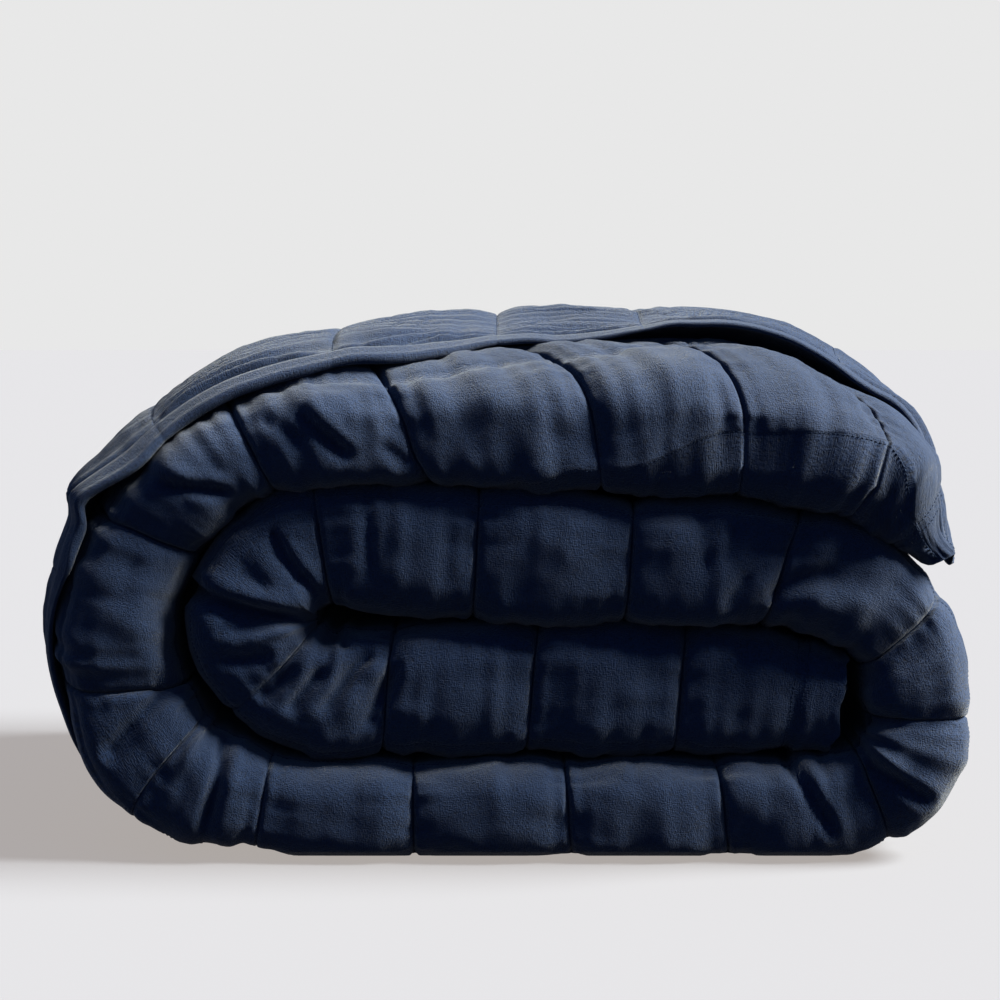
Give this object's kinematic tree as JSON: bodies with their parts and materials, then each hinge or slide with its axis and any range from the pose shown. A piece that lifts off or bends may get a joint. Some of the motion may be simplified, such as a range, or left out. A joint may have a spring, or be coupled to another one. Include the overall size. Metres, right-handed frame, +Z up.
{
  "type": "rolled linen quilt",
  "caption": "Square-quilted linen quilt, folded in three lengthwise and rolled up into a soft flat roll, its loose end hanging over one side.",
  "frame": {"origin": "on the surface that the roll rests on, under the middle of its box", "axes": "+X along the roll's width towards the loose end, +Y from the front, with the thick fold, to the back, +Z up"},
  "size_m": [0.6066, 0.5704, 0.356],
  "materials": {
    "linen": "washed plain-weave linen, dull, with a faint sheen at grazing angles"
  },
  "bodies": {
    "root": {"quilt": "linen"}
  },
  "joints": []
}
